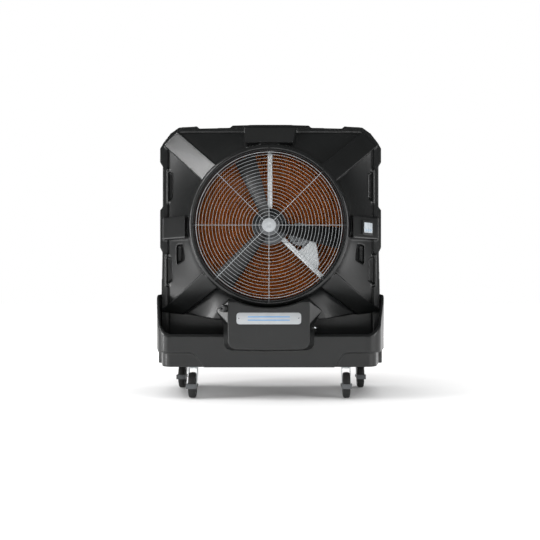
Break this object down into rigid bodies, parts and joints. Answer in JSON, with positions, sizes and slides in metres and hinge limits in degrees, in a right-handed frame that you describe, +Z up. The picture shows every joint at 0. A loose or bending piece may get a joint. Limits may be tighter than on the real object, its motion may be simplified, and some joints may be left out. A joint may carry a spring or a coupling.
{
  "type": "evaporative cooler",
  "caption": "Large portable evaporative cooler with a round guarded fan, flared front shroud, rear wet pad, water tank and swivel casters.",
  "frame": {"origin": "on the floor, under the middle of the machine", "axes": "+Z up, -Y the way the air blows out, +X to the right seen from the front"},
  "size_m": [1.474, 0.8281, 1.7515],
  "materials": {
    "moulded_charcoal": "rotomoulded polyethylene, fine orange-peel, satin",
    "black_plastic": "moulded, satin",
    "plate_face": "printed satin plate",
    "keypad_film": "printed film",
    "button_rubber": "soft matt",
    "zinc_wire": "zinc-plated wire",
    "cast_hub": "as cast",
    "black_blade": "black satin coat",
    "bright_steel": "bright zinc plate",
    "cast_pulley": "dark grey enamel",
    "belt_rubber": "fabric-faced rubber",
    "motor_shell": "silver grey enamel",
    "galvanised": "hot-dip zinc, faint spangle",
    "media": "resin-treated corrugated cellulose",
    "hose_rubber": "matt",
    "float_plastic": "moulded",
    "caster_black": "black powder coat",
    "tread_rubber": "moulded tread",
    "brake_grey": "grey powder coat"
  },
  "bodies": {
    "housing": {"front_shroud": "moulded_charcoal", "rear_cabinet": "moulded_charcoal", "tank": "moulded_charcoal", "valve_box": "moulded_charcoal", "name_plate": "plate_face", "control_bezel": "black_plastic", "keypad": "keypad_film", "fan_guard": "zinc_wire", "venturi_ring": "black_plastic", "strut_top": "galvanised", "strut_left": "galvanised", "strut_right": "galvanised", "bearing_plate": "galvanised", "motor": "motor_shell", "motor_bracket": "galvanised", "drive_belt": "belt_rubber", "media_pad": "media", "pad_frame": "black_plastic", "water_header": "black_plastic", "pump": "black_plastic", "riser_hose": "hose_rubber", "float_valve": "black_plastic", "drain_valve": "black_plastic", "hose_inlet": "black_plastic", "cord_gland": "black_plastic", "caster_plate_front_left": "galvanised", "caster_plate_front_right": "galvanised", "caster_plate_rear_left": "galvanised", "caster_plate_rear_right": "galvanised"},
    "fan": {"fan_hub": "cast_hub", "fan_blade_1": "black_blade", "fan_blade_2": "black_blade", "fan_blade_3": "black_blade", "fan_shaft": "bright_steel", "driven_pulley": "cast_pulley"},
    "motor_shaft": {"motor_pulley": "cast_pulley"},
    "power_button": {"power_button": "button_rubber"},
    "speed_button": {"speed_button": "button_rubber"},
    "pump_button": {"pump_button": "button_rubber"},
    "float_arm": {"float_arm": "float_plastic"},
    "drain_handle": {"drain_handle": "bright_steel"},
    "inlet_nut": {"inlet_nut": "black_plastic"},
    "pad_latch_left": {"pad_latch_left": "black_plastic"},
    "pad_latch_right": {"pad_latch_right": "black_plastic"},
    "caster_front_left": {"caster_fork_front_left": "caster_black", "caster_axle_front_left": "bright_steel"},
    "wheel_front_left": {"caster_wheel_front_left": "tread_rubber"},
    "brake_front_left": {"caster_brake_front_left": "brake_grey"},
    "caster_front_right": {"caster_fork_front_right": "caster_black", "caster_axle_front_right": "bright_steel"},
    "wheel_front_right": {"caster_wheel_front_right": "tread_rubber"},
    "brake_front_right": {"caster_brake_front_right": "brake_grey"},
    "caster_rear_left": {"caster_fork_rear_left": "caster_black", "caster_axle_rear_left": "bright_steel"},
    "wheel_rear_left": {"caster_wheel_rear_left": "tread_rubber"},
    "brake_rear_left": {"caster_brake_rear_left": "brake_grey"},
    "caster_rear_right": {"caster_fork_rear_right": "caster_black", "caster_axle_rear_right": "bright_steel"},
    "wheel_rear_right": {"caster_wheel_rear_right": "tread_rubber"},
    "brake_rear_right": {"caster_brake_rear_right": "brake_grey"}
  },
  "joints": [
    {"name": "fan_spin", "type": "hinge", "parent": "housing", "child": "fan", "pos_m": [0, -0.163, 1.074], "axis": [0, 1, 0], "continuous": true},
    {"name": "motor_spin", "type": "hinge", "parent": "housing", "child": "motor_shaft", "pos_m": [0.19002, -0.163, 1.02604], "axis": [0, 1, 0], "continuous": true},
    {"name": "power_press", "type": "slide", "parent": "housing", "child": "power_button", "axis": [-0.841, 0.541, 0], "range_m": [0, 0.0015], "stiffness_N_per_m": 400},
    {"name": "speed_press", "type": "slide", "parent": "housing", "child": "speed_button", "axis": [-0.841, 0.541, 0], "range_m": [0, 0.0015], "stiffness_N_per_m": 400},
    {"name": "pump_press", "type": "slide", "parent": "housing", "child": "pump_button", "axis": [-0.841, 0.541, 0], "range_m": [0, 0.0015], "stiffness_N_per_m": 400},
    {"name": "float_swing", "type": "hinge", "parent": "housing", "child": "float_arm", "pos_m": [-0.15, -0.268, 0.322], "axis": [1, 0, 0], "range_deg": [-26, 5]},
    {"name": "drain_turn", "type": "hinge", "parent": "housing", "child": "drain_handle", "pos_m": [0.265, -0.363, 0.447], "axis": [0.8572, -0.515, 0], "range_deg": [0, 90]},
    {"name": "nut_turn", "type": "hinge", "parent": "housing", "child": "inlet_nut", "pos_m": [-0.265, -0.374, 0.563], "axis": [-0.6428, -0.766, 0], "continuous": true},
    {"name": "latch_left_turn", "type": "hinge", "parent": "housing", "child": "pad_latch_left", "pos_m": [-0.688, 0.393, 1.064], "axis": [0, 1, 0], "range_deg": [0, 90]},
    {"name": "latch_right_turn", "type": "hinge", "parent": "housing", "child": "pad_latch_right", "pos_m": [0.688, 0.393, 1.064], "axis": [0, 1, 0], "range_deg": [0, 90]},
    {"name": "swivel_front_left", "type": "hinge", "parent": "housing", "child": "caster_front_left", "pos_m": [-0.48, -0.212, 0.188], "axis": [0, 0, 1], "continuous": true},
    {"name": "roll_front_left", "type": "hinge", "parent": "caster_front_left", "child": "wheel_front_left", "pos_m": [-0.48, -0.25, 0.08], "axis": [1, 0, 0], "continuous": true},
    {"name": "brake_front_left", "type": "hinge", "parent": "caster_front_left", "child": "brake_front_left", "pos_m": [-0.48, -0.25, 0.08], "axis": [1, 0, 0], "range_deg": [0, 18]},
    {"name": "swivel_front_right", "type": "hinge", "parent": "housing", "child": "caster_front_right", "pos_m": [0.48, -0.212, 0.188], "axis": [0, 0, 1], "continuous": true},
    {"name": "roll_front_right", "type": "hinge", "parent": "caster_front_right", "child": "wheel_front_right", "pos_m": [0.48, -0.25, 0.08], "axis": [1, 0, 0], "continuous": true},
    {"name": "brake_front_right", "type": "hinge", "parent": "caster_front_right", "child": "brake_front_right", "pos_m": [0.48, -0.25, 0.08], "axis": [1, 0, 0], "range_deg": [0, 18]},
    {"name": "swivel_rear_left", "type": "hinge", "parent": "housing", "child": "caster_rear_left", "pos_m": [-0.604, 0.288, 0.188], "axis": [0, 0, 1], "continuous": true},
    {"name": "roll_rear_left", "type": "hinge", "parent": "caster_rear_left", "child": "wheel_rear_left", "pos_m": [-0.604, 0.25, 0.08], "axis": [1, 0, 0], "continuous": true},
    {"name": "brake_rear_left", "type": "hinge", "parent": "caster_rear_left", "child": "brake_rear_left", "pos_m": [-0.604, 0.25, 0.08], "axis": [1, 0, 0], "range_deg": [0, 18]},
    {"name": "swivel_rear_right", "type": "hinge", "parent": "housing", "child": "caster_rear_right", "pos_m": [0.604, 0.288, 0.188], "axis": [0, 0, 1], "continuous": true},
    {"name": "roll_rear_right", "type": "hinge", "parent": "caster_rear_right", "child": "wheel_rear_right", "pos_m": [0.604, 0.25, 0.08], "axis": [1, 0, 0], "continuous": true},
    {"name": "brake_rear_right", "type": "hinge", "parent": "caster_rear_right", "child": "brake_rear_right", "pos_m": [0.604, 0.25, 0.08], "axis": [1, 0, 0], "range_deg": [0, 18]}
  ],
  "couplings": [
    {"joint": "motor_spin", "follows": "fan_spin", "ratio": 2.5714}
  ]
}
